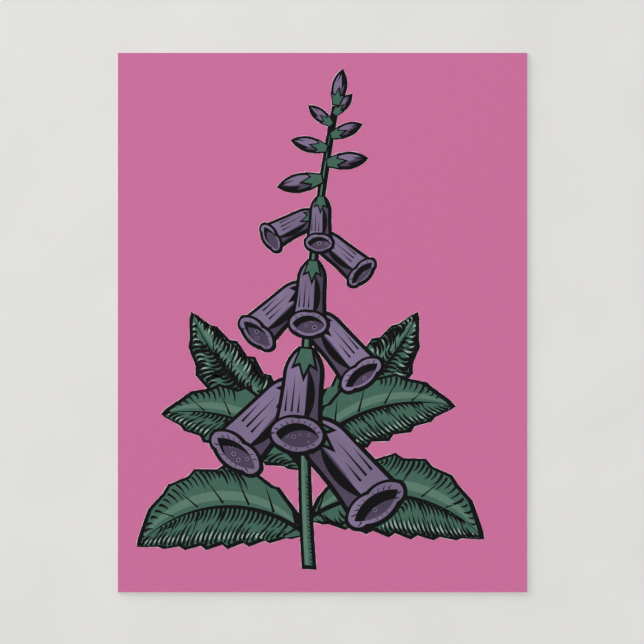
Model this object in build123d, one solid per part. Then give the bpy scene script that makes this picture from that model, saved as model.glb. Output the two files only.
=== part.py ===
from build123d import *
from math import atan, cos, degrees, pi, radians, sin
from typing import NamedTuple
import os

# A picture postcard lying face up: three plies of board, a coated front, a printed picture, a printed back.
# Origin at the middle of the back face; +X to the picture's right, +Y to its top, +Z out of the picture.
# Sizes are in millimetres, angles in degrees.

# Card stock
card_width = 107.95
card_height = 142.24
caliper = 0.4445  # back face to coated front face
front_ply_thickness = 0.11
back_ply_thickness = 0.11
coating_thickness = 0.02
ink_film = 0.01  # one pass of the press

# Lines of the picture
flower_line = 1.3  # outline of the largest flower
flower_line_power = 0.45  # smaller flowers have finer outlines by this power of their size
leaf_line = 0.95  # outline of a leaf or the stem
rib_width = 1.7
vein_width = 0.8
heavy_side = 0.4  # share of its width that an outline gains on the side away from the light
towards_light = Vector(-0.7, 1.0).normalized()  # the picture is lit from its upper left
smallest_speck = 0.3  # square millimetres; the plates hold nothing smaller

# Flower spire
foot_margin = 6.0  # stem foot above the card's lower edge
head_margin = 14.0  # stem head below the card's upper edge
stem_lean = 7.0  # head to the right of the foot
stem_bow = 4.0
stem_width = 4.0
stem_top_width = 2.0
stem_highlight = 1.0
spire_length = 84.0  # stretch of the stem that carries flowers
largest_bell = 32.0
smallest_bud = 7.5
top_bud = 10.0
hanging = -90.0  # heading of a flower that hangs straight down
bell_count = 9
bud_count = 6
lowest_spread = 46.0  # how far a side flower stands out from straight down, at the foot of the spire
highest_spread = 150.0  # the same at its head
spread_rise = 4  # power by which the spread grows up the stem
spread_play = 4.0  # flowers differ by up to this from an even spread
front_play = 8.0  # flowers seen from the front swing by up to this from straight down
play_step = 2.0  # radians of the swing from one flower to the next
side_droop = 0.1  # sideways bend of a side flower, as a share of its length

# Open flower, as shares of its length
tube_sections = [(0.0, 0.08), (0.3, 0.215), (0.9, 0.265)]  # station along the axis, half width
mouth_radius = 0.31
side_mouth = 0.46  # length to width of a mouth seen from the side
front_mouth = 0.66  # length to width of a mouth seen from the front
lip_lobes = 5
lobe_bulge = 0.145  # share of the mouth's radius
throat_shares = (0.6, 0.72)  # shares of the mouth's short and long radius
throat_depth = 0.09  # width of the black on the throat's near side
shade_width = 0.18  # width of the shaded side
flutes = [(-0.15, 0.42), (-0.085, 0.28), (-0.02, 0.46)]  # pen strokes: from the axis to the shaded side, end
flute_start = 0.67
flute_width = 0.021
crescent_reach = (0.22, 0.8)  # brush stroke along the shaded side
crescent_offset = 0.04  # its ends from the axis
crescent_bows = (0.01, 0.095)  # its inner and outer edge

# Half of a calyx with pointed sepals, as shares of its flower's length: along the axis, from the axis
calyx_points = [(0.0, 0.07), (0.24, 0.14), (0.2, 0.06), (0.36, 0.0)]
calyx_line = 0.025  # outline

# Bud, as shares of its length
bud_width = 0.42
bud_shade = 0.2  # width of the shaded side
bud_calyx_scale = 1.5  # against an open flower's calyx

# Leaves from front to back: root above the stem foot, reach to the right, rise, bow, width
leaves = [
    (30.0, 40.0, 13.0, 6.0, 16.0),
    (26.0, -38.0, 15.0, -6.0, 16.0),
    (13.0, 47.0, -5.0, 9.0, 20.0),
    (9.0, -45.0, -3.0, -9.0, 20.0),
    (38.0, 30.0, 30.0, -4.0, 14.0),
    (36.0, -30.0, 32.0, 4.0, 14.0),
]
tooth_pitch = 6.0  # teeth along a leaf's margin
tooth_depth = 1.3  # at the middle of the margin; teeth die out towards both ends
tooth_lean = 0.75  # where along its pitch a tooth has its point
leaf_end_inset = 1.5  # how much faster a leaf's pointed ends draw in than its margins
vein_pitch = 6.6
vein_sweep = 5.0  # how far a vein runs forward on its way to the margin
vein_reach = (0.1, 0.9)  # start and end as shares of the way from the rib to the margin
last_vein = 0.8  # share of the rib beyond which it has no veins
vein_taper = 0.5  # power by which veins grow finer towards the tip
highlight_start = 0.09  # from the rib, as a share of the leaf's width
highlight_width = 0.12  # share of the leaf's width

# Back of the card, read with the picture's top to the left
rule_width = 0.3
divider_length = 82.0
divider_offset = 4.0  # right of the middle
address_rules = 4
address_pitch = 9.5
address_margin = 8.0  # from the divider and from the card's edge
address_drop = 4.0  # first rule below the middle
stamp_width = 20.0
stamp_height = 24.0
stamp_margin = 7.0


def bowed(start, end, bow):
    """An arc that stands off its chord by bow, to the left of its run, or a straight line."""
    if bow == 0:
        return Line(start, end)
    return SagittaArc(start, end, bow)


def pen_stroke(start, end, bow, width):
    """A stroke that starts at its full width and is drawn out to a point."""
    half = (end - start).normalized().rotate(Axis.Z, 90) * (width / 2)
    left, right = start + half, start - half
    return make_face([bowed(left, end, bow), bowed(end, right, -bow), Line(right, left)])


def tapered(start, end, bow, start_width, end_width):
    """A bowed strip with square ends."""
    across = (end - start).normalized().rotate(Axis.Z, 90)
    left = bowed(start + across * (start_width / 2), end + across * (end_width / 2), bow)
    right = bowed(start - across * (start_width / 2), end - across * (end_width / 2), bow)
    return make_face([left, right, Line(left @ 0, right @ 0), Line(left @ 1, right @ 1)])


def lens(half_width, half_height):
    """Two arcs that meet in points on the Y axis."""
    top, bottom = Vector(0, half_height), Vector(0, -half_height)
    return make_face([SagittaArc(top, bottom, hand * half_width) for hand in (1, -1)])


def lobed(radius_x, radius_y, bulge):
    """An oval with a round lobe for each petal."""
    turns = [radians(360 * (i + 0.5) / lip_lobes) for i in range(lip_lobes + 1)]
    notches = [Vector(radius_x * cos(turn), radius_y * sin(turn)) for turn in turns]
    return make_face([SagittaArc(a, b, -bulge) for a, b in zip(notches, notches[1:])])


def calyx(length):
    """Pointed sepals along +X that hold a flower of the given length."""
    outline = [Vector(along, across) * length for along, across in calyx_points]
    outline += [Vector(point.X, -point.Y) for point in reversed(outline[:-1])]
    return make_face(Polyline(outline, close=True))


def on_bell(along, across, length, droop):
    """A point of a flower along +X that is bent sideways by droop."""
    return Vector(along, across + droop * along**2) * length


def bell_tube(length, droop):
    """A flower's tube of arcs: a narrow neck, a full belly and a flared mouth."""
    forward = Vector(1, 2 * droop * tube_sections[1][0])
    sides = []
    for hand in (1, -1):
        neck, belly, mouth = [on_bell(along, hand * half, length, droop) for along, half in tube_sections]
        sides.append(TangentArc(belly, neck, tangent=-forward))
        sides.append(TangentArc(belly, mouth, tangent=forward))
    return make_face([*sides, Line(sides[0] @ 1, sides[2] @ 1), Line(sides[1] @ 1, sides[3] @ 1)])


def lit_hand(along):
    """1 where the left side of a run faces the light, -1 where its right side does."""
    return 1 if along.rotate(Axis.Z, 90).dot(towards_light) > 0 else -1


def far_side(shape, shift):
    """What a copy of the shape, moved towards the light, leaves uncovered."""
    return shape - Pos(towards_light * shift) * shape


class Layer(NamedTuple):
    """One shape of the picture: the whole of it, its colour, the part inside its outline, the tones on the
    colour and the pen strokes on it."""

    shape: Sketch
    colour: str
    inside: Sketch
    tones: dict
    strokes: tuple | list


def outlined(draw, colour, line, tones=None, strokes=()):
    """A layer from a function that draws its shape, drawn in by a given amount."""
    inside = Pos(towards_light * (heavy_side * line / 2)) * draw(line)
    return Layer(draw(0), colour, inside, tones or {}, strokes)


def drawn_in(shape):
    """A function that draws a shape in by an even amount."""
    return lambda edge: offset(shape, -edge, kind=Kind.INTERSECTION) if edge else shape


def flower_outline(length):
    """The width of the outline of a flower of the given length."""
    return flower_line * (length / largest_bell) ** flower_line_power


def open_flower(anchor, heading, length, droop, mouth_share):
    """The layers of an open flower, front layer first: lip with its throat, calyx, tube."""
    place = Pos(anchor) * Rot(0, 0, heading)
    line = flower_outline(length)
    station = tube_sections[-1][0]
    tilt = degrees(atan(2 * droop * station))
    mouth = place * Pos(on_bell(station, 0, length, droop)) * Rot(0, 0, tilt)
    radius = mouth_radius * length

    def lip(edge):
        return mouth * lobed(mouth_share * radius - edge, radius - edge, lobe_bulge * radius)

    throat = mouth * lens(throat_shares[0] * mouth_share * radius, throat_shares[1] * radius)
    near_side = far_side(throat, -throat_depth * length)
    sepals = place * calyx(length)
    shaded = -lit_hand(Vector(1, 0).rotate(Axis.Z, heading))
    tube = bell_tube(length, droop)
    shade = place * (tube - Pos(0, -shaded * shade_width * length) * tube)
    ends = [on_bell(along, shaded * crescent_offset, length, droop) for along in crescent_reach]
    strokes = [place * make_face([bowed(*ends, shaded * bow * length) for bow in crescent_bows])]
    for across, end in flutes:
        ends = [on_bell(along, shaded * across, length, droop) for along in (flute_start, end)]
        strokes.append(place * pen_stroke(*ends, 0, flute_width * length))
    return [
        outlined(lip, "purple", line, {"shadow": throat}, [near_side]),
        outlined(drawn_in(sepals), "green", calyx_line * length),
        outlined(drawn_in(place * tube), "purple", line, {"shadow": shade}, strokes),
    ]


def closed_flower(anchor, heading, length):
    """The layers of a bud, front layer first: calyx, petals."""
    place = Pos(anchor) * Rot(0, 0, heading)
    petals = place * Pos(length / 2, 0) * Rot(0, 0, 90) * lens(bud_width * length / 2, length / 2)
    sepals = place * calyx(bud_calyx_scale * length)
    shade = far_side(petals, bud_shade * length)
    return [
        outlined(drawn_in(sepals), "green", bud_calyx_scale * calyx_line * length),
        outlined(drawn_in(petals), "purple", flower_outline(length), {"shadow": shade}),
    ]


def toothed_leaf(root, tip, bow, width):
    """The layer of a leaf with pointed teeth, a rib, side veins and a highlight."""
    along = (tip - root).normalized()
    left = along.rotate(Axis.Z, 90)
    teeth = round((tip - root).length / tooth_pitch)

    def blade(edge):
        ends = root + along * (edge * leaf_end_inset), tip - along * (edge * leaf_end_inset)
        sides = []
        for hand in (1, -1):
            margin = bowed(*ends, bow + hand * (width / 2 - edge))
            points = [ends[0]]
            for i in range(teeth):
                crest = (i + tooth_lean) / teeth
                points.append(margin @ crest + left * (hand * tooth_depth * sin(pi * crest)))
                points.append(margin @ ((i + 1) / teeth))
            sides.append(Polyline(points))
        return make_face(sides)

    rib = bowed(root, tip, bow)
    sweep = vein_sweep / rib.length
    veins = round(last_vein * rib.length / vein_pitch)
    strokes = [pen_stroke(root, tip, bow, rib_width)]
    for hand in (1, -1):
        margin = bowed(root, tip, bow + hand * width / 2)
        for i in range(veins):
            share = last_vein * (i + 0.5) / veins
            inner = rib @ share
            run = margin @ (share + sweep) - inner
            line = vein_width * (1 - share) ** vein_taper
            strokes.append(pen_stroke(*[inner + run * reach for reach in vein_reach], 0, line))
    near, far = highlight_start * width, (highlight_start + highlight_width) * width
    highlight = make_face([bowed(root, tip, bow + lit_hand(along) * away) for away in (near, far)])
    return outlined(blade, "green", leaf_line, {"pale": highlight}, strokes)


def flower_spire(stem):
    """The layers of all flowers along the stem, front layer first, from large bells up to small buds."""
    count = bell_count + bud_count
    sizes = [largest_bell * (smallest_bud / largest_bell) ** (i / (count - 1)) for i in range(count)]
    layers = []
    for i, size in enumerate(sizes):
        share = sum(sizes[:i]) / sum(sizes)
        anchor = stem @ (1 - spire_length / stem.length * (1 - share))
        swing = sin(play_step * i)
        spread = lowest_spread + (highest_spread - lowest_spread) * share**spread_rise + spread_play * swing
        if i >= bell_count:  # buds stand right and left by turns
            flower = closed_flower(anchor, hanging + (1, -1)[i % 2] * spread, size)
        elif i % 3 == 2:  # open flowers come in threes: right, left, front
            flower = open_flower(anchor, hanging + front_play * swing, size, 0, front_mouth)
        else:
            hand = (1, -1)[i % 3]
            flower = open_flower(anchor, hanging + hand * spread, size, -hand * side_droop, side_mouth)
        layers = flower + layers
    return closed_flower(stem @ 1, (stem % 1).get_signed_angle(Vector(1, 0)), top_bud) + layers


def picture():
    """The layers of the picture, front layer first: flowers, stem, leaves."""
    foot = Vector(-stem_lean / 2, foot_margin - card_height / 2)
    head = Vector(stem_lean / 2, card_height / 2 - head_margin)
    stem = bowed(foot, head, stem_bow)
    stalk = tapered(foot, head, stem_bow, stem_width, stem_top_width)
    highlight = pen_stroke(foot + towards_light * stem_highlight, head, stem_bow, stem_highlight)
    layers = flower_spire(stem)
    layers.append(outlined(drawn_in(stalk), "green", leaf_line, {"pale": highlight}))
    for height, reach, rise, bow, width in leaves:
        root = stem @ (height / stem.length)
        layers.append(toothed_leaf(root, root + Vector(reach, rise), bow, width))
    return layers


def overlapping(shape, others):
    """Those of the others whose boxes meet the shape's box."""
    box = shape.bounding_box()
    return [other for other in others if box.overlaps(other.bounding_box())]


def separate(layers, trim):
    """The flat faces of each plate. The black key is the picture's whole shape, and shows as the outlines
    between the colours printed on it; tones lie on the colours, and pen strokes on the tones."""
    plates = {name: [] for name in ("green", "purple", "pale", "shadow", "pen")}
    covers = []
    for layer in layers:
        fronts = overlapping(layer.shape, covers)
        covers.append(layer.shape)
        colour = (layer.inside & trim) - fronts
        plates[layer.colour] += colour.faces()
        for tone, shape in layer.tones.items():
            plates[tone] += (colour & shape).faces()
        for stroke in layer.strokes:
            plates["pen"] += ((stroke & trim) - overlapping(stroke, fronts)).faces()
    plates["key"] = ((Sketch() + covers) & trim).faces()
    return plates


def film(faces, level):
    """One pass of ink over the faces, standing on the given level."""
    held = [face for face in faces if face.area > smallest_speck]
    return Pos(0, 0, level) * extrude(Sketch() + held, ink_film)


def back_print():
    """The flat shapes printed on the back, by node, in the back's reading frame."""
    right_edge, top_edge = card_height / 2, card_width / 2
    divider = Pos(divider_offset, 0) * Rectangle(rule_width, divider_length)
    rule_start, rule_end = divider_offset + address_margin, right_edge - address_margin
    rule = Pos((rule_start + rule_end) / 2, -address_drop) * Rectangle(rule_end - rule_start, rule_width)
    rules = Sketch() + [Pos(0, -i * address_pitch) * rule for i in range(address_rules)]
    stamp_area = Rectangle(stamp_width, stamp_height)
    stamp_x = right_edge - stamp_margin - stamp_width / 2
    stamp_y = top_edge - stamp_margin - stamp_height / 2
    stamp_box = Pos(stamp_x, stamp_y) * (stamp_area - offset(stamp_area, -rule_width))
    return {"back_divider": divider, "back_address_rules": rules, "back_stamp_box": stamp_box}


def postcard():
    """All pieces of the card by node."""
    trim = Rectangle(card_width, card_height)
    core_level = back_ply_thickness
    coating_level = caliper - coating_thickness
    front_level = coating_level - front_ply_thickness
    nodes = {
        "core_ply": Pos(0, 0, core_level) * extrude(trim, front_level - core_level),
        "front_ply": Pos(0, 0, front_level) * extrude(trim, front_ply_thickness),
        "front_coating": Pos(0, 0, coating_level) * extrude(trim, coating_thickness),
    }
    back_face = Plane(origin=(0, 0, 0), x_dir=(0, -1, 0), z_dir=(0, 0, -1))
    back_inks = {name: back_face * extrude(shape, -ink_film) for name, shape in back_print().items()}
    nodes["back_ply"] = extrude(trim, back_ply_thickness) - list(back_inks.values())
    nodes |= back_inks
    plates = separate(picture(), trim)
    nodes["pink_ground"] = film(trim.faces(), caliper)
    passes = [
        {"black_key": "key"},
        {"leaf_green": "green", "flower_purple": "purple"},
        {"leaf_highlight": "pale", "flower_shadow": "shadow"},
        {"black_pen": "pen"},
    ]
    for i, inks in enumerate(passes):
        nodes |= {name: film(plates[plate], caliper + (i + 1) * ink_film) for name, plate in inks.items()}
    return nodes


os.makedirs("parts", exist_ok=True)
for name, piece in postcard().items():
    piece.label = name
    export_step(piece, f"parts/{name}.step")
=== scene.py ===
import math

import bpy
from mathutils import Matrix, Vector


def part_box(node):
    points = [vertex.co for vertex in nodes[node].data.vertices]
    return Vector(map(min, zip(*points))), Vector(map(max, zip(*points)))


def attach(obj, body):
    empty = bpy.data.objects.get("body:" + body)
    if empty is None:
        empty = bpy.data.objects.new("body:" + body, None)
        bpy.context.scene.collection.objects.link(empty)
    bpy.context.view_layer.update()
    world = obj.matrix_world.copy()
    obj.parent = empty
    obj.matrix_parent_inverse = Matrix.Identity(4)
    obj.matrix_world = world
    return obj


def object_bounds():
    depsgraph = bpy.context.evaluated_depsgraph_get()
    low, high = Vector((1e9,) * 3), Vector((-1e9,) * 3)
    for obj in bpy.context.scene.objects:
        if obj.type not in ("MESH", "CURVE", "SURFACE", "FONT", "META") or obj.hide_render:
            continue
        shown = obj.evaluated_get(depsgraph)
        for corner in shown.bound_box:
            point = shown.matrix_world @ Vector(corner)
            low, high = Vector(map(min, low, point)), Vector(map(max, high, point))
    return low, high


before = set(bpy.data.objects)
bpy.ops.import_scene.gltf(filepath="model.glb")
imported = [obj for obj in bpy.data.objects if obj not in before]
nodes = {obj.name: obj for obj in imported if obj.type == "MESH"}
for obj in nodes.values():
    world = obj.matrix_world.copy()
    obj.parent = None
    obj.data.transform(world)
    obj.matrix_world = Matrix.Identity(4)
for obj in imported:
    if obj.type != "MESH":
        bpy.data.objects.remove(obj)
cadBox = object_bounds()
mm = 0.001
print("frame loaded:", len(nodes), "nodes")


# helpers for node trees

def addNode(tree, kind, inputs=None, **settings):
    made = tree.nodes.new(kind)
    for name, value in settings.items():
        setattr(made, name, value)
    for key, value in (inputs or {}).items():
        if isinstance(value, bpy.types.NodeSocket):
            tree.links.new(value, made.inputs[key])
        else:
            made.inputs[key].default_value = value
    return made


def calc(tree, operation, *values):
    return addNode(tree, "ShaderNodeMath", dict(enumerate(values)), operation=operation).outputs[0]


def calcVector(tree, operation, *values):
    made = addNode(tree, "ShaderNodeVectorMath", dict(enumerate(values)), operation=operation)
    return made.outputs["Value" if operation == "LENGTH" else "Vector"]


def scaled(tree, vector, factor):
    made = addNode(tree, "ShaderNodeVectorMath", {0: vector, "Scale": factor}, operation="SCALE")
    return made.outputs[0]


def splitVector(tree, vector):
    return addNode(tree, "ShaderNodeSeparateXYZ", {0: vector}).outputs


def joinVector(tree, x, y, z):
    return addNode(tree, "ShaderNodeCombineXYZ", {0: x, 1: y, 2: z}).outputs[0]


# camera straight above the card, framed in pixels of a square image
cameraSet = {
    "height": 1.6,
    "imagePixels": 644,
    "cardPixels": 409.3,  # width of the card in the image
    "cardCentre": (322.5, 322.5),
    "sensor": 36.0,
}


def makeCamera():
    pixel = (cadBox[1].x - cadBox[0].x) / cameraSet["cardPixels"]
    half = cameraSet["imagePixels"] / 2
    data = bpy.data.cameras.new("overhead")
    data.sensor_width = cameraSet["sensor"]
    data.lens = cameraSet["sensor"] * cameraSet["height"] / (cameraSet["imagePixels"] * pixel)
    camera = bpy.data.objects.new("overhead", data)
    camera.location = (
        (half - cameraSet["cardCentre"][0]) * pixel,
        (cameraSet["cardCentre"][1] - half) * pixel,
        cadBox[1].z + cameraSet["height"],
    )
    bpy.context.scene.collection.objects.link(camera)
    bpy.context.scene.camera = camera
    print("camera: lens", round(data.lens, 1))


# a wide low lamp at the upper left
lampSet = {"distance": 1.23, "rise": 0.2, "size": 0.5, "spread": math.radians(60), "watts": 1.9}


def makeLamp():
    data = bpy.data.lights.new("sideLamp", "AREA")
    data.size = lampSet["size"]
    data.spread = lampSet["spread"]
    data.energy = lampSet["watts"]
    lamp = bpy.data.objects.new("sideLamp", data)
    reach = lampSet["distance"] / math.sqrt(2)
    lamp.location = (-reach, reach, lampSet["rise"])
    lamp.rotation_mode = "QUATERNION"
    lamp.rotation_quaternion = (-lamp.location).to_track_quat("-Z", "Y")
    lamp.visible_camera = False
    bpy.context.scene.collection.objects.link(lamp)
    print("light: side lamp")


# an even sky that is dimmer overhead, with a plain strength where it is seen or mirrored
skySet = {"low": 1.1, "overhead": 0.39, "capStart": 0.7, "capEnd": 0.92, "seen": 0.8}


def makeSky():
    world = bpy.data.worlds.new("evenSky")
    world.use_nodes = True
    tree = world.node_tree
    direction = addNode(tree, "ShaderNodeTexCoord").outputs["Generated"]
    cap = {
        "Value": splitVector(tree, direction)["Z"],
        "From Min": skySet["capStart"],
        "From Max": skySet["capEnd"],
        "To Min": skySet["low"],
        "To Max": skySet["overhead"],
    }
    strength = addNode(tree, "ShaderNodeMapRange", cap, interpolation_type="SMOOTHSTEP").outputs[0]
    path = addNode(tree, "ShaderNodeLightPath").outputs
    mirrored = calc(tree, "MAXIMUM", path["Is Glossy Ray"], path["Is Transmission Ray"])
    seen = calc(tree, "MAXIMUM", path["Is Camera Ray"], mirrored)
    shown = addNode(tree, "ShaderNodeMix", {0: seen, 2: strength, 3: skySet["seen"]}).outputs[0]
    tree.links.new(shown, tree.nodes["Background"].inputs["Strength"])
    tree.nodes["Background"].inputs["Color"].default_value = (1, 1, 1, 1)
    bpy.context.scene.world = world
    print("light: sky")


# materials

def srgb(*values):
    return [((value / 255 + 0.055) / 1.055) ** 2.4 for value in values] + [1]


def newMaterial(name):
    made = bpy.data.materials.new(name)
    made.use_nodes = True
    return made, made.node_tree, made.node_tree.nodes["Principled BSDF"]


def grain(tree, scale, detail=2.0, stretch=(1, 1, 1)):
    place = addNode(tree, "ShaderNodeTexCoord").outputs["Object"]
    laid = addNode(tree, "ShaderNodeMapping", {"Vector": place, "Scale": stretch}).outputs[0]
    noise = addNode(tree, "ShaderNodeTexNoise", {"Vector": laid, "Scale": scale, "Detail": detail})
    return noise.outputs["Fac"]


cloudSpan = (0.3, 0.7)  # stretch of the noise over which a colour swings


def mottled(tree, value, colour, swing):
    ramp = addNode(tree, "ShaderNodeValToRGB", {0: value})
    low, high = ramp.color_ramp.elements
    low.position, high.position = cloudSpan
    low.color = [channel * (1 - swing) for channel in colour[:3]] + [1]
    high.color = [channel * (1 + swing) for channel in colour[:3]] + [1]
    return ramp.outputs[0]


def roughened(tree, shader, height, strength, depth):
    bump = addNode(tree, "ShaderNodeBump", {"Height": height, "Strength": strength, "Distance": depth})
    tree.links.new(bump.outputs[0], shader.inputs["Normal"])


inkSet = {
    "mottle": 900,  # fine clouds
    "drift": 40,  # slow clouds, about as large as a flower
    "detail": 4,
    "tooth": 9000,
    "sheen": (0.44, 0.56),
    "specular": 0.1,
    "bump": 0.15,
    "depth": 0.002 * mm,
}
inkColours = {  # material, sRGB colour, how far it swings and in which clouds
    "coating": ("bareCoating", (236, 230, 229), 0.01, "mottle"),
    "pink": ("pinkInk", (199, 109, 153), 0.012, "mottle"),
    "black": ("blackInk", (8, 8, 11), 0.1, "mottle"),
    "green": ("leafGreenInk", (65, 100, 86), 0.07, "mottle"),
    "paleGreen": ("paleGreenInk", (90, 121, 107), 0.05, "mottle"),
    "glint": ("glintInk", (146, 170, 158), 0.04, "mottle"),
    "purple": ("purpleInk", (124, 108, 139), 0.28, "drift"),
    "darkPurple": ("darkPurpleInk", (75, 64, 86), 0.2, "drift"),
    "grey": ("greyInk", (126, 126, 130), 0.06, "mottle"),
}


def inkMaterial(name, colour, swing, clouds):
    made, tree, shader = newMaterial(name)
    cloud = grain(tree, inkSet[clouds], inkSet["detail"])
    tree.links.new(mottled(tree, cloud, srgb(*colour), swing), shader.inputs["Base Color"])
    tooth = grain(tree, inkSet["tooth"])
    low, high = inkSet["sheen"]
    sheen = addNode(tree, "ShaderNodeMapRange", {"Value": tooth, "To Min": low, "To Max": high})
    tree.links.new(sheen.outputs[0], shader.inputs["Roughness"])
    roughened(tree, shader, tooth, inkSet["bump"], inkSet["depth"])
    shader.inputs["Specular IOR Level"].default_value = inkSet["specular"]
    return made


boardSet = {
    "colour": srgb(218, 215, 208),
    "swing": 0.04,
    "fibre": 2500,
    "detail": 5,
    "layers": (1, 1, 14),  # fibres lie flat
    "bump": 0.35,
    "depth": 0.01 * mm,
    "roughness": 0.85,
    "specular": 0.15,
}


def boardMaterial(name):
    made, tree, shader = newMaterial(name)
    fibres = grain(tree, boardSet["fibre"], boardSet["detail"], boardSet["layers"])
    colour = mottled(tree, fibres, boardSet["colour"], boardSet["swing"])
    tree.links.new(colour, shader.inputs["Base Color"])
    roughened(tree, shader, fibres, boardSet["bump"], boardSet["depth"])
    shader.inputs["Roughness"].default_value = boardSet["roughness"]
    shader.inputs["Specular IOR Level"].default_value = boardSet["specular"]
    return made


def makeMaterials():
    made = {"board": boardMaterial("cardBoard")}
    for ink, look in inkColours.items():
        made[ink] = inkMaterial(*look)
    print("materials:", len(made))
    return made


nodeInks = {
    "core_ply": "board",
    "front_ply": "board",
    "back_ply": "board",
    "front_coating": "coating",
    "pink_ground": "pink",
    "black_key": "black",
    "leaf_green": "green",
    "flower_purple": "purple",
    "leaf_highlight": "paleGreen",
    "flower_shadow": "darkPurple",
    "black_pen": "black",
    "back_divider": "grey",
    "back_address_rules": "grey",
    "back_stamp_box": "grey",
}


def inkNodes(inks):
    for node, ink in nodeInks.items():
        nodes[node].data.materials.clear()
        nodes[node].data.materials.append(inks[ink])
    print("inked", len(nodeInks), "nodes")


# pale floor with a window under the card, so that its back can be seen from below
floorSet = {
    "half": 3.0,
    "drop": 0.02 * mm,
    "inset": 0.05 * mm,  # window inside the card's edges
    "colour": srgb(223, 222, 220),
    "cloud": 45,
    "detail": 6,
    "swing": 0.02,
    "roughness": 0.9,
    "specular": 0.0,
}


def floorMaterial(name):
    made, tree, shader = newMaterial(name)
    cloud = grain(tree, floorSet["cloud"], floorSet["detail"])
    colour = mottled(tree, cloud, floorSet["colour"], floorSet["swing"])
    tree.links.new(colour, shader.inputs["Base Color"])
    shader.inputs["Roughness"].default_value = floorSet["roughness"]
    shader.inputs["Specular IOR Level"].default_value = floorSet["specular"]
    under = addNode(tree, "ShaderNodeNewGeometry").outputs["Backfacing"]
    clear = addNode(tree, "ShaderNodeBsdfTransparent").outputs[0]
    mixed = addNode(tree, "ShaderNodeMixShader", {0: under, 1: shader.outputs[0], 2: clear})
    tree.links.new(mixed.outputs[0], tree.nodes["Material Output"].inputs["Surface"])
    return made


def makeFloor():
    outer = (floorSet["half"], floorSet["half"])
    window = (cadBox[1].x - floorSet["inset"], cadBox[1].y - floorSet["inset"])
    corners = [(-1, -1), (1, -1), (1, 1), (-1, 1)]
    points = [(x * w, y * h, -floorSet["drop"]) for w, h in (outer, window) for x, y in corners]
    faces = [(i, (i + 1) % 4, (i + 1) % 4 + 4, i + 4) for i in range(4)]
    mesh = bpy.data.meshes.new("floor")
    mesh.from_pydata(points, [], faces)
    mesh.materials.append(floorMaterial("paleFloor"))
    floor = bpy.data.objects.new("floor", mesh)
    bpy.context.scene.collection.objects.link(floor)
    print("floor laid")


# geometry nodes for what is drawn in many small strokes

def newTree(name, sockets):
    tree = bpy.data.node_groups.new(name, "GeometryNodeTree")
    tree.interface.new_socket("Geometry", in_out="INPUT", socket_type="NodeSocketGeometry")
    for label, kind in sockets.items():
        tree.interface.new_socket(label, in_out="INPUT", socket_type="NodeSocket" + kind)
    tree.interface.new_socket("Geometry", in_out="OUTPUT", socket_type="NodeSocketGeometry")
    return tree, tree.nodes.new("NodeGroupInput").outputs


def closeTree(tree, geometry, ink):
    real = addNode(tree, "GeometryNodeRealizeInstances", {0: geometry}).outputs[0]
    inked = addNode(tree, "GeometryNodeSetMaterial", {"Geometry": real, "Material": ink}).outputs[0]
    addNode(tree, "NodeGroupOutput", {0: inked})


def growPiece(name, tree, values, guide=None):
    piece = bpy.data.objects.new(name, guide or bpy.data.meshes.new(name))
    bpy.context.scene.collection.objects.link(piece)
    modifier = piece.modifiers.new(tree.name, "NODES")
    modifier.node_group = tree
    for item in tree.interface.items_tree:
        if item.in_out == "INPUT" and item.name in values:
            modifier[item.identifier] = values[item.name]
    grown = piece.evaluated_get(bpy.context.evaluated_depsgraph_get())
    mesh = bpy.data.meshes.new_from_object(grown)
    piece.modifiers.clear()
    piece.data = mesh
    mesh.name = name
    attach(piece, "root")
    print("piece", name, len(mesh.polygons), "faces")


def position(tree):
    return tree.nodes.new("GeometryNodeInputPosition").outputs[0]


def solidOf(tree, film):
    return addNode(tree, "GeometryNodeObjectInfo", {"Object": film}).outputs["Geometry"]


def part(tree, geometry, chosen, domain):
    picked = {"Geometry": geometry, "Selection": chosen}
    return addNode(tree, "GeometryNodeSeparateGeometry", picked, domain=domain).outputs[0]


def moved(tree, geometry, place):
    put = {"Geometry": geometry, "Position": place}
    return addNode(tree, "GeometryNodeSetPosition", put).outputs[0]


weldGap = 0.0005 * mm  # the films come as loose triangles
topSlope = 0.5  # a film's top faces up by more than this


def topFaces(tree, film):
    loose = {"Geometry": solidOf(tree, film), "Distance": weldGap}
    joined = addNode(tree, "GeometryNodeMergeByDistance", loose).outputs[0]
    up = splitVector(tree, tree.nodes.new("GeometryNodeInputNormal").outputs[0])["Z"]
    return part(tree, joined, calc(tree, "GREATER_THAN", up, topSlope), "FACE")


def islandIndex(tree):
    return tree.nodes.new("GeometryNodeInputMeshIsland").outputs["Island Index"]


# an edge with a face on one side only
def isRim(tree):
    count = tree.nodes.new("GeometryNodeInputMeshEdgeNeighbors").outputs[0]
    return calc(tree, "COMPARE", count, 1, 0.1)


raySet = {"start": 1 * mm, "length": 3 * mm}  # from above the card to below it


def lookDown(tree, film, place):
    ray = {
        "Target Geometry": film,
        "Attribute": islandIndex(tree),
        "Source Position": calcVector(tree, "ADD", place, (0, 0, raySet["start"])),
        "Ray Direction": (0, 0, -1),
        "Ray Length": raySet["length"],
    }
    return addNode(tree, "GeometryNodeRaycast", ray, data_type="INT", mapping="NEAREST").outputs


def isOver(tree, film, place):
    return lookDown(tree, film, place)["Is Hit"]


# the number of the island of film below a place, from 1, or 0
def islandBelow(tree, film, place):
    seen = lookDown(tree, film, place)
    return calc(tree, "MULTIPLY", seen["Is Hit"], calc(tree, "ADD", seen["Attribute"], 1.0))


def atLevel(tree, place, level):
    x, y, _ = splitVector(tree, place)
    return joinVector(tree, x, y, level)


def chance(tree, low, high, seed):
    return addNode(tree, "FunctionNodeRandomValue", {2: low, 3: high, "Seed": seed}).outputs[1]


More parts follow.
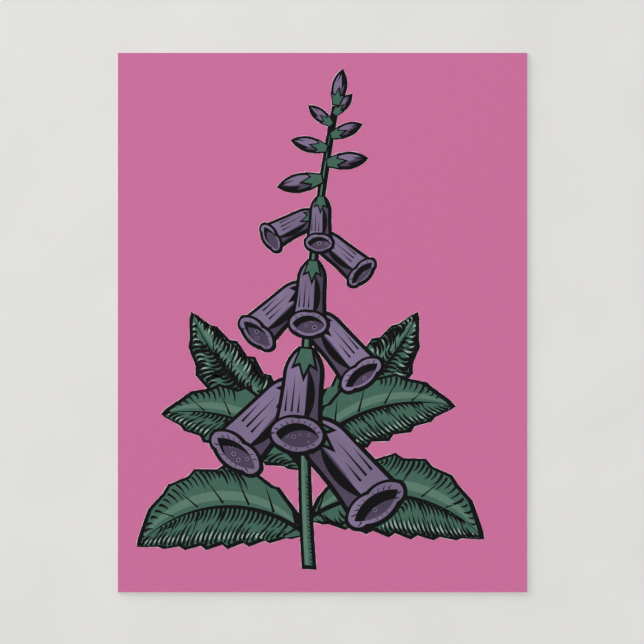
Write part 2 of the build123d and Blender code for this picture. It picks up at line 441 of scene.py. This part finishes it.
def evenly(tree, curve, spacing):
    step = {"Curve": curve, "Length": spacing}
    return addNode(tree, "GeometryNodeResampleCurve", step, mode="LENGTH").outputs[0]


def rimCurve(tree, face):
    rim = {"Mesh": face, "Selection": isRim(tree)}
    return addNode(tree, "GeometryNodeMeshToCurve", rim).outputs[0]


def curvePoints(tree, curve):
    return addNode(tree, "GeometryNodeCurveToPoints", {"Curve": curve}, mode="EVALUATED").outputs[0]


def named(tree, name, kind="FLOAT"):
    found = addNode(tree, "GeometryNodeInputNamedAttribute", {"Name": name}, data_type=kind)
    return found.outputs["Attribute"]


def stored(tree, geometry, name, value, kind="FLOAT"):
    kept = {"Geometry": geometry, "Name": name, "Value": value}
    return addNode(tree, "GeometryNodeStoreNamedAttribute", kept, data_type=kind).outputs[0]


def total(tree, value, group, domain, kind="FLOAT"):
    summed = {"Value": value, "Group ID": group}
    made = addNode(tree, "GeometryNodeAccumulateField", summed, data_type=kind, domain=domain)
    return made.outputs["Total"]


# how far a bow stands off at a share of its run: nothing at the ends and all at the middle
def bowAt(share, bow):
    return bow * 4 * share * (1 - share)


def bowNode(tree, share):
    rest = calc(tree, "SUBTRACT", 1.0, share)
    return calc(tree, "MULTIPLY", calc(tree, "MULTIPLY", share, rest), 4.0)


# a stroke 1 long and 1 wide that is drawn out to a point, or swells at its middle
strokeShape = {"rings": 7, "taper": 0.55, "tip": 0.08, "bend": 0.4}


def penStroke(tree, swell, bend):
    bar = {"Size": (1, 1, 1), "Vertices X": strokeShape["rings"], "Vertices Y": 2, "Vertices Z": 2}
    x, y, z = splitVector(tree, position(tree))
    along = calc(tree, "ADD", x, 0.5)
    left = calc(tree, "SUBTRACT", 1.0, along)
    hump = bowNode(tree, along)
    body = addNode(tree, "ShaderNodeMix", {0: swell, 2: left, 3: hump}).outputs[0]
    girth = calc(tree, "MAXIMUM", calc(tree, "POWER", body, strokeShape["taper"]), strokeShape["tip"])
    across = calc(tree, "ADD", calc(tree, "MULTIPLY", y, girth), calc(tree, "MULTIPLY", hump, bend))
    place = joinVector(tree, along, across, calc(tree, "ADD", z, 0.5))
    return moved(tree, addNode(tree, "GeometryNodeMeshCube", bar).outputs[0], place)


# the points carry "start" and "stroke", the run of the stroke
def drawStrokes(tree, points, width, thickness, least, swell=0.0, bend=strokeShape["bend"]):
    run = named(tree, "stroke", "FLOAT_VECTOR")
    size = calcVector(tree, "LENGTH", run)
    kept = part(tree, points, calc(tree, "GREATER_THAN", size, least), "POINT")
    put = moved(tree, kept, named(tree, "start", "FLOAT_VECTOR"))
    turn = addNode(tree, "FunctionNodeAlignRotationToVector", {"Vector": run}, axis="X", pivot_axis="Z")
    laid = {
        "Points": put,
        "Instance": penStroke(tree, swell, bend),
        "Rotation": turn.outputs[0],
        "Scale": joinVector(tree, size, width, thickness),
    }
    return addNode(tree, "GeometryNodeInstanceOnPoints", laid).outputs[0]


# bare paper that shows as a hair line round the drawing
fringeSet = {
    "Reach": 0.049 * mm,  # to either side of the outline's edge
    "Thickness": 0.006 * mm,
    "Spacing": 0.45 * mm,
    "Wander": 0.34 * mm,
    "Grain": 500.0,  # scale of the noise that it wanders by
}


def makeFringe(inks):
    sockets = {name: "Float" for name in [*fringeSet, "Level"]} | {"Film": "Object", "Ink": "Material"}
    tree, given = newTree("paperFringe", sockets)
    rim = rimCurve(tree, topFaces(tree, given["Film"]))
    place = position(tree)
    noise = addNode(tree, "ShaderNodeTexNoise", {"Vector": place, "Scale": given["Grain"]})
    around = calcVector(tree, "SUBTRACT", noise.outputs["Color"], (0.5, 0.5, 0.5))
    swing = scaled(tree, around, given["Wander"])
    middle = calc(tree, "ADD", given["Level"], calc(tree, "MULTIPLY", given["Thickness"], 0.5))
    shaken = atLevel(tree, calcVector(tree, "ADD", place, swing), middle)
    line = moved(tree, evenly(tree, rim, given["Spacing"]), shaken)
    flat = addNode(tree, "GeometryNodeSetCurveNormal", {"Curve": line}, mode="Z_UP").outputs[0]
    size = {"Width": calc(tree, "MULTIPLY", given["Reach"], 2.0), "Height": given["Thickness"]}
    profile = addNode(tree, "GeometryNodeCurvePrimitiveQuadrilateral", size).outputs[0]
    band = addNode(tree, "GeometryNodeCurveToMesh", {"Curve": flat, "Profile Curve": profile})
    closeTree(tree, band.outputs[0], given["Ink"])
    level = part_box("black_key")[0].z
    values = fringeSet | {"Film": nodes["black_key"], "Level": level, "Ink": inks["coating"]}
    growPiece("paper_fringe", tree, values)


# the flower spire as the films show it
spireSet = {
    "footMargin": 6 * mm,  # stem's foot above the card's lower edge
    "headMargin": 14 * mm,  # stem's head below its upper edge
    "lean": 7 * mm,
    "bow": 4 * mm,
    "widths": (4 * mm, 2 * mm),  # stem at its foot and head
    "light": Vector((-0.7, 1.0)),  # where the drawn light comes from
    "flowered": 84 * mm,  # stretch of the stem that carries flowers
    "bells": 9,
    "buds": 6,
    "largest": 32 * mm,
    "smallest": 7.5 * mm,
    "topBud": 10 * mm,
    "hanging": -90,  # degrees
    "spread": (46, 150, 4),  # degrees at the lowest and the highest flower, and the power of the rise
    "play": (4, 2.0),  # degrees, and radians from one flower to the next
}
cardTop = round(cadBox[1].y, 5)  # to 0.01 mm
stemFoot = Vector((-spireSet["lean"] / 2, spireSet["footMargin"] - cardTop))
stemHead = Vector((spireSet["lean"] / 2, cardTop - spireSet["headMargin"]))
stemRun = stemHead - stemFoot


def leftOf(run):
    return Vector((-run.y, run.x)).normalized()


def stemPoint(share):
    return stemFoot + stemRun * share + leftOf(stemRun) * bowAt(share, spireSet["bow"])


def litHand(run):
    return math.copysign(1, leftOf(run).dot(spireSet["light"]))


# pen hatching in rows along the leaves, each stroke kept to what is seen of its own leaf
leafSet = [  # root above the stem's foot, reach, rise, bow, width
    (30 * mm, 40 * mm, 13 * mm, 6 * mm, 16 * mm),
    (26 * mm, -38 * mm, 15 * mm, -6 * mm, 16 * mm),
    (13 * mm, 47 * mm, -5 * mm, 9 * mm, 20 * mm),
    (9 * mm, -45 * mm, -3 * mm, -9 * mm, 20 * mm),
    (38 * mm, 30 * mm, 30 * mm, -4 * mm, 14 * mm),
    (36 * mm, -30 * mm, 32 * mm, 4 * mm, 14 * mm),
]
# a row of strokes: its leaves, 1 for their lit or -1 for their shaded half, and then in shares
# first, last: stretch of the rib that bears strokes; begin, end: of the way from margin to rib
# weight: of the line; home: where along the rib the leaf is surely seen
rowParts = ("first", "last", "begin", "end", "weight", "home")
hatchRows = [
    ((0, 1), -1, 0.1, 0.97, -0.1, 0.75, 1.0, 0.85),
    ((0, 1), -1, 0.12, 0.8, 0.97, 0.6, 1.0, 0.85),
    ((0, 1), 1, 0.5, 0.97, -0.1, 0.45, 0.9, 0.85),
    ((1,), -1, 0.02, 0.4, -0.1, 0.9, 1.0, 0.2),
    ((2, 3), -1, 0.05, 0.97, -0.1, 0.65, 1.0, 0.85),
    ((2, 3), -1, 0.1, 0.85, 0.97, 0.5, 1.0, 0.85),
    ((2, 3), 1, 0.25, 0.97, -0.1, 0.5, 1.0, 0.85),
    ((2,), -1, 0.02, 0.4, -0.1, 0.9, 1.0, 0.12),
    ((4, 5), -1, 0.05, 0.95, -0.1, 0.75, 1.5, 0.85),
    ((4, 5), -1, 0.1, 0.8, 0.97, 0.35, 1.4, 0.85),
    ((4, 5), 1, 0.05, 0.95, -0.1, 0.75, 1.5, 0.85),
    ((4, 5), 1, 0.1, 0.7, 0.97, 0.55, 1.3, 0.85),
]
hatchSet = {
    "Pitch": 1.2 * mm,
    "Line": 0.8 * mm,
    "Thickness": 0.014 * mm,
    "Sweep": 0.25,  # how far a stroke leans to the tip, as a share of the leaf's width
    "Play": 0.2,
    "Shortest": 0.8 * mm,
    "Offset": 0.0,
}
# pale streaks between those strokes
glintRows = [
    ((4, 5), -1, 0.08, 0.9, 0.12, 0.62, 1.0, 0.85),
    ((4, 5), 1, 0.08, 0.9, 0.15, 0.6, 1.0, 0.85),
    ((0, 1, 2, 3), -1, 0.15, 0.9, 0.14, 0.4, 0.9, 0.85),
]
glintSet = hatchSet | {"Line": 0.65 * mm, "Thickness": 0.012 * mm, "Play": 0.25, "Offset": 0.6 * mm}
hatchDraws = {"length": (0.0, 2.0, 3), "weight": (0.75, 1.25, 8)}  # low, high, seed
hatchProbes = 14  # looks down along each stroke


def leafGuides(rows):
    points, shapes = [], []
    for leaves, half, *shares in rows:
        for height, reach, rise, bow, width in [leafSet[i] for i in leaves]:
            root = stemPoint(height / stemRun.length)
            run = Vector((reach, rise))
            points += [root.to_3d(), (root + run).to_3d()]
            edgeBow = bow + half * litHand(run) * width / 2
            shape = {"bow": bow, "edgeBow": edgeBow, "leafWidth": width} | dict(zip(rowParts, shares))
            shapes += [shape, shape]
    mesh = bpy.data.meshes.new("leafGuides")
    mesh.from_pydata(points, [(i, i + 1) for i in range(0, len(points), 2)], [])
    for name in shapes[0]:
        values = mesh.attributes.new(name, "FLOAT", "POINT")
        values.data.foreach_set("value", [shape[name] for shape in shapes])
    return mesh


def bowedPoint(tree, root, run, left, share, bow):
    base = calcVector(tree, "ADD", root, scaled(tree, run, share))
    aside = calc(tree, "MULTIPLY", bowNode(tree, share), bow)
    return calcVector(tree, "ADD", base, scaled(tree, left, aside))


# the shares of a stroke that come before its leaf and that lie on it, up to where it first leaves it
def seenShares(tree, leaves, start, stroke, home, drawn):
    begun, grown, skipped = 0.0, 0.0, 0.0
    for i in range(hatchProbes):
        probe = calcVector(tree, "ADD", start, scaled(tree, stroke, (i + 0.5) / hatchProbes))
        same = calc(tree, "COMPARE", islandBelow(tree, leaves, probe), home, 0.5)
        gone = calc(tree, "MULTIPLY", begun, calc(tree, "SUBTRACT", 1.0, same))
        drawn = calc(tree, "MULTIPLY", drawn, calc(tree, "SUBTRACT", 1.0, gone))
        begun = calc(tree, "MAXIMUM", begun, same)
        grown = calc(tree, "ADD", grown, calc(tree, "MULTIPLY", drawn, same))
        skipped = calc(tree, "ADD", skipped, calc(tree, "SUBTRACT", 1.0, begun))
    return [calc(tree, "DIVIDE", count, hatchProbes) for count in (skipped, grown)]


def hatchTree():
    sockets = {name: "Float" for name in [*hatchSet, "Level"]} | {"Leaves": "Object", "Ink": "Material"}
    tree, given = newTree("leafHatching", sockets)
    leaves = topFaces(tree, given["Leaves"])
    guides = addNode(tree, "GeometryNodeMeshToCurve", {"Mesh": given["Geometry"]}).outputs[0]
    passed = tree.nodes.new("GeometryNodeSplineParameter").outputs["Factor"]
    length = tree.nodes.new("GeometryNodeSplineLength").outputs["Length"]
    along = tree.nodes.new("GeometryNodeInputTangent").outputs[0]
    run = scaled(tree, along, length)
    left = calcVector(tree, "CROSS_PRODUCT", (0, 0, 1), along)
    root = calcVector(tree, "SUBTRACT", position(tree), scaled(tree, run, passed))
    share = calc(tree, "ADD", passed, calc(tree, "DIVIDE", given["Offset"], length))
    # from the margin to the rib
    rib = bowedPoint(tree, root, run, left, share, named(tree, "bow"))
    sweep = calc(tree, "MULTIPLY", given["Sweep"], named(tree, "leafWidth"))
    ahead = calc(tree, "ADD", share, calc(tree, "DIVIDE", sweep, length))
    edge = bowedPoint(tree, root, run, left, calc(tree, "MINIMUM", ahead, 1.0), named(tree, "edgeBow"))
    inward = calcVector(tree, "SUBTRACT", rib, edge)
    start = calcVector(tree, "ADD", edge, scaled(tree, inward, named(tree, "begin")))
    reach = calc(tree, "SUBTRACT", named(tree, "end"), named(tree, "begin"))
    loss = calc(tree, "MULTIPLY", given["Play"], chance(tree, *hatchDraws["length"]))
    stroke = scaled(tree, inward, calc(tree, "MULTIPLY", reach, calc(tree, "SUBTRACT", 1.0, loss)))
    # what is seen of it
    first = calc(tree, "GREATER_THAN", share, named(tree, "first"))
    drawn = calc(tree, "MULTIPLY", first, calc(tree, "LESS_THAN", share, named(tree, "last")))
    middle = calc(tree, "MULTIPLY", calc(tree, "ADD", named(tree, "bow"), named(tree, "edgeBow")), 0.5)
    home = islandBelow(tree, leaves, bowedPoint(tree, root, run, left, named(tree, "home"), middle))
    drawn = calc(tree, "MULTIPLY", drawn, calc(tree, "GREATER_THAN", home, 0.5))
    skipped, grown = seenShares(tree, leaves, start, stroke, home, drawn)
    met = calcVector(tree, "ADD", start, scaled(tree, stroke, skipped))
    curve = evenly(tree, guides, given["Pitch"])
    curve = stored(tree, curve, "stroke", scaled(tree, stroke, grown), "FLOAT_VECTOR")
    curve = stored(tree, curve, "start", atLevel(tree, met, given["Level"]), "FLOAT_VECTOR")
    weight = calc(tree, "MULTIPLY", named(tree, "weight"), chance(tree, *hatchDraws["weight"]))
    width = calc(tree, "MULTIPLY", given["Line"], weight)
    strokes = drawStrokes(tree, curvePoints(tree, curve), width, given["Thickness"], given["Shortest"])
    closeTree(tree, strokes, given["Ink"])
    return tree


def makeHatching(inks):
    tree = hatchTree()
    films = {"Leaves": nodes["leaf_green"], "Level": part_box("leaf_green")[1].z}
    hatching = hatchSet | films | {"Ink": inks["black"]}
    growPiece("leaf_hatching", tree, hatching, leafGuides(hatchRows))
    glints = glintSet | films | {"Ink": inks["glint"]}
    growPiece("leaf_glints", tree, glints, leafGuides(glintRows))


# strokes that are placed one by one: start, run and width
strokeProbes = (0.5, 0.9)  # a stroke is drawn where its film is seen here
placedStroke = {"Thickness": 0.014 * mm, "Shortest": 0.5 * mm}


def strokeMesh(name, strokes):
    mesh = bpy.data.meshes.new(name)
    mesh.from_pydata([start.to_3d() for start, _, _ in strokes], [], [])
    runs = mesh.attributes.new("stroke", "FLOAT_VECTOR", "POINT")
    runs.data.foreach_set("vector", [along for _, run, _ in strokes for along in run.to_3d()])
    widths = mesh.attributes.new("line", "FLOAT", "POINT")
    widths.data.foreach_set("value", [width for _, _, width in strokes])
    return mesh


def strokeTree():
    sockets = {name: "Float" for name in [*placedStroke, "Swell", "Bend", "Level"]}
    tree, given = newTree("inkStrokes", sockets | {"Film": "Object", "Ink": "Material"})
    film = solidOf(tree, given["Film"])
    points = addNode(tree, "GeometryNodeMeshToPoints", {"Mesh": given["Geometry"]}).outputs[0]
    run = named(tree, "stroke", "FLOAT_VECTOR")
    shown = 1.0
    for share in strokeProbes:
        probe = calcVector(tree, "ADD", position(tree), scaled(tree, run, share))
        shown = calc(tree, "MULTIPLY", isOver(tree, film, probe), shown)
    start = atLevel(tree, position(tree), given["Level"])
    points = stored(tree, points, "start", start, "FLOAT_VECTOR")
    points = part(tree, points, shown, "POINT")
    shape = (given["Thickness"], given["Shortest"], given["Swell"], given["Bend"])
    closeTree(tree, drawStrokes(tree, points, named(tree, "line"), *shape), given["Ink"])
    return tree


# a brush stroke on the shaded side of each bud and a fine seam on its lit side
# ends: along the bud's axis and from it to the shaded side, in shares of its length, as the width is
crescentSet = {
    "ends": ((0.5, 0.07), (0.9, -0.01)),
    "width": 0.085,
    "bowsOut": True,  # a stroke bends to its left, so some are drawn backwards
    "shape": {"Swell": 1.0, "Bend": 0.5},
}
seamSet = {
    "ends": ((0.94, -0.02), (0.62, -0.08)),
    "width": 0.04,
    "bowsOut": False,
    "shape": {"Swell": 0.0, "Bend": 0.3},
}
nearHead = 0.99  # share of the stem from which the top bud takes its heading


def budAxes():
    count = spireSet["bells"] + spireSet["buds"]
    ratio = spireSet["smallest"] / spireSet["largest"]
    sizes = [spireSet["largest"] * ratio ** (i / (count - 1)) for i in range(count)]
    low, high, rise = spireSet["spread"]
    swing, step = spireSet["play"]
    axes = [(stemPoint(1), (stemPoint(1) - stemPoint(nearHead)).normalized(), spireSet["topBud"])]
    for i in range(spireSet["bells"], count):
        share = sum(sizes[:i]) / sum(sizes)
        anchor = stemPoint(1 - spireSet["flowered"] / stemRun.length * (1 - share))
        spread = low + (high - low) * share**rise + swing * math.sin(step * i)
        heading = math.radians(spireSet["hanging"] + (1, -1)[i % 2] * spread)
        axes.append((anchor, Vector((math.cos(heading), math.sin(heading))), sizes[i]))
    return axes


def budStrokes(look):
    strokes = []
    for anchor, along, length in budAxes():
        shaded = leftOf(along) * -litHand(along)
        ends = [anchor + (along * x + shaded * y) * length for x, y in look["ends"]]
        if look["bowsOut"] and litHand(along) > 0:
            ends.reverse()
        strokes.append((ends[0], ends[1] - ends[0], look["width"] * length))
    return strokes


def makeBudStrokes(inks, tree):
    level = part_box("flower_purple")[1].z
    values = placedStroke | {"Film": nodes["flower_purple"], "Level": level, "Ink": inks["black"]}
    for name, look in (("bud_crescents", crescentSet), ("bud_seams", seamSet)):
        guide = strokeMesh(name + "Guide", budStrokes(look))
        growPiece(name, tree, values | look["shape"], guide)


# ticks up the shaded side of the bare stem
tickSet = {
    "first": 0.012,  # shares of the stem
    "last": 0.21,
    "pitch": 0.95 * mm,
    "outline": 0.95 * mm,  # black along the stem's edge, from which a tick starts
    "run": Vector((-0.75 * mm, 0.6 * mm)),
    "play": (0.8, 0.3, 2.1),  # middle length, swing, radians from one tick to the next
    "width": 0.42 * mm,
    "shape": {"Swell": 0.0, "Bend": 0.2},
}


def makeStemTicks(inks, tree):
    ticks = []
    wide, narrow = spireSet["widths"]
    middle, swing, step = tickSet["play"]
    count = int((tickSet["last"] - tickSet["first"]) * stemRun.length / tickSet["pitch"])
    for i in range(count):
        share = tickSet["first"] + i * tickSet["pitch"] / stemRun.length
        half = (wide + (narrow - wide) * share) / 2 - tickSet["outline"]
        run = tickSet["run"] * (middle + swing * math.sin(i * step))
        ticks.append((stemPoint(share) - leftOf(stemRun) * half, run, tickSet["width"]))
    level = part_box("leaf_green")[1].z
    values = placedStroke | {"Film": nodes["leaf_green"], "Level": level, "Ink": inks["black"]}
    guide = strokeMesh("stemTicks", ticks)
    growPiece("stem_ticks", tree, values | tickSet["shape"], guide)


# a throat is a rounded island of the flower's shadow film
def throats(tree, film, least):
    face = topFaces(tree, film)
    island = islandIndex(tree)
    area = total(tree, tree.nodes.new("GeometryNodeInputMeshFaceArea").outputs[0], island, "FACE")
    ends = tree.nodes.new("GeometryNodeInputMeshEdgeVertices").outputs
    side = calcVector(tree, "SUBTRACT", ends["Position 1"], ends["Position 2"])
    length = calc(tree, "MULTIPLY", calcVector(tree, "LENGTH", side), isRim(tree))
    outline = calc(tree, "POWER", total(tree, length, island, "EDGE"), 2.0)
    roundness = calc(tree, "DIVIDE", calc(tree, "MULTIPLY", area, 4 * math.pi), outline)
    return part(tree, face, calc(tree, "GREATER_THAN", roundness, least), "FACE")


# spots in the throats, each a dark drop on a paler one
spotSet = {
    "Roundness": 0.62,
    "Spacing": 1.7 * mm,
    "Margin": 0.75 * mm,
    "Small": 0.4 * mm,
    "Large": 0.65 * mm,
}
spotRims = {"Share": 1.0, "Thickness": 0.005 * mm}
spotDrops = {"Share": 0.55, "Thickness": 0.01 * mm}
spotSides = 12
spotScatter = {"Density Max": 1e7, "Density Factor": 1.0, "Seed": 5}  # denser than the spacing allows
spotDraws = {  # low, high, seed
    "size": (0.0, 1.0, 2),
    "turn": (0.0, math.pi, 4),
    "oval": (0.75, 1.0, 6),
}


def makeSpots(inks):
    sockets = {name: "Float" for name in [*spotSet, *spotRims, "Level"]}
    sockets |= {"Film": "Object", "Pen": "Object", "Ink": "Material"}
    tree, given = newTree("throatSpots", sockets)
    throat = throats(tree, given["Film"], given["Roundness"])
    scatter = {"Mesh": throat, "Distance Min": given["Spacing"]} | spotScatter
    found = addNode(tree, "GeometryNodeDistributePointsOnFaces", scatter, distribute_method="POISSON")
    rim = part(tree, throat, isRim(tree), "EDGE")
    gap = addNode(tree, "GeometryNodeProximity", {0: rim}, target_element="EDGES").outputs["Distance"]
    clear = calc(tree, "SUBTRACT", 1.0, isOver(tree, solidOf(tree, given["Pen"]), position(tree)))
    inside = calc(tree, "MULTIPLY", clear, calc(tree, "GREATER_THAN", gap, given["Margin"]))
    kept = part(tree, found.outputs[0], inside, "POINT")
    disc = {"Vertices": spotSides, "Radius": 1.0, "Depth": 1.0}
    drop = addNode(tree, "GeometryNodeMeshCylinder", disc).outputs[0]
    raised = addNode(tree, "GeometryNodeTransform", {"Geometry": drop, "Translation": (0, 0, 0.5)})
    spread = calc(tree, "SUBTRACT", given["Large"], given["Small"])
    growth = calc(tree, "MULTIPLY", chance(tree, *spotDraws["size"]), spread)
    radius = calc(tree, "MULTIPLY", calc(tree, "ADD", given["Small"], growth), given["Share"])
    narrow = calc(tree, "MULTIPLY", radius, chance(tree, *spotDraws["oval"]))
    laid = {
        "Points": moved(tree, kept, atLevel(tree, position(tree), given["Level"])),
        "Instance": raised.outputs[0],
        "Rotation": joinVector(tree, 0.0, 0.0, chance(tree, *spotDraws["turn"])),
        "Scale": joinVector(tree, narrow, radius, given["Thickness"]),
    }
    closeTree(tree, addNode(tree, "GeometryNodeInstanceOnPoints", laid).outputs[0], given["Ink"])
    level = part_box("flower_shadow")[1].z
    values = spotSet | {"Film": nodes["flower_shadow"], "Pen": nodes["black_pen"], "Level": level}
    growPiece("throat_spot_rims", tree, values | spotRims | {"Ink": inks["purple"]})
    growPiece("throat_spots", tree, values | spotDrops | {"Ink": inks["black"]})


# short pen strokes that run from the throat out over the lip
# Start and End, outward from the throat's rim, and Line are shares of its radius there
pleatSet = {
    "Roundness": 0.62,
    "Spacing": 1.4 * mm,
    "Start": 0.05,
    "End": 0.42,
    "Line": 0.075,
    "Thickness": 0.01 * mm,
    "Clear": 0.35 * mm,  # bare petal that a stroke needs beside the throat
    "Shortest": 0.35 * mm,
}
pleatDraw = (0.55, 1.0, 9)  # low, high, seed


def makePleats(inks):
    sockets = {name: "Float" for name in [*pleatSet, "Level"]}
    sockets |= {"Film": "Object", "Petals": "Object", "Ink": "Material"}
    tree, given = newTree("lipPleats", sockets)
    petals = solidOf(tree, given["Petals"])
    rim = rimCurve(tree, throats(tree, given["Film"], given["Roundness"]))
    place = position(tree)
    ring = tree.nodes.new("GeometryNodeCurveOfPoint").outputs["Curve Index"]
    count = total(tree, 1.0, ring, "POINT")
    summed = total(tree, place, ring, "POINT", "FLOAT_VECTOR")
    middle = scaled(tree, summed, calc(tree, "DIVIDE", 1.0, count))
    outward = calcVector(tree, "SUBTRACT", place, middle)
    start = calcVector(tree, "ADD", place, scaled(tree, outward, given["Start"]))
    reach = calc(tree, "SUBTRACT", given["End"], given["Start"])
    stroke = scaled(tree, outward, calc(tree, "MULTIPLY", reach, chance(tree, *pleatDraw)))
    aside = scaled(tree, calcVector(tree, "NORMALIZE", outward), given["Clear"])
    shown = 1.0
    beside = calcVector(tree, "ADD", place, aside)
    for probe in (beside, start, calcVector(tree, "ADD", start, stroke)):
        shown = calc(tree, "MULTIPLY", isOver(tree, petals, probe), shown)
    width = calc(tree, "MULTIPLY", calcVector(tree, "LENGTH", outward), given["Line"])
    curve = evenly(tree, rim, given["Spacing"])
    curve = stored(tree, curve, "stroke", scaled(tree, stroke, shown), "FLOAT_VECTOR")
    curve = stored(tree, curve, "start", atLevel(tree, start, given["Level"]), "FLOAT_VECTOR")
    points = curvePoints(tree, stored(tree, curve, "line", width))
    strokes = drawStrokes(tree, points, named(tree, "line"), given["Thickness"], given["Shortest"])
    closeTree(tree, strokes, given["Ink"])
    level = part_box("flower_purple")[1].z
    films = {"Film": nodes["flower_shadow"], "Petals": nodes["flower_purple"], "Level": level}
    growPiece("lip_pleats", tree, pleatSet | films | {"Ink": inks["black"]})


inks = makeMaterials()
inkNodes(inks)
makeCamera()
makeLamp()
makeSky()
makeFloor()
makeFringe(inks)
makeHatching(inks)
inkStrokes = strokeTree()
makeBudStrokes(inks, inkStrokes)
makeStemTicks(inks, inkStrokes)
makeSpots(inks)
makePleats(inks)

bpy.context.scene.view_settings.view_transform = "Standard"
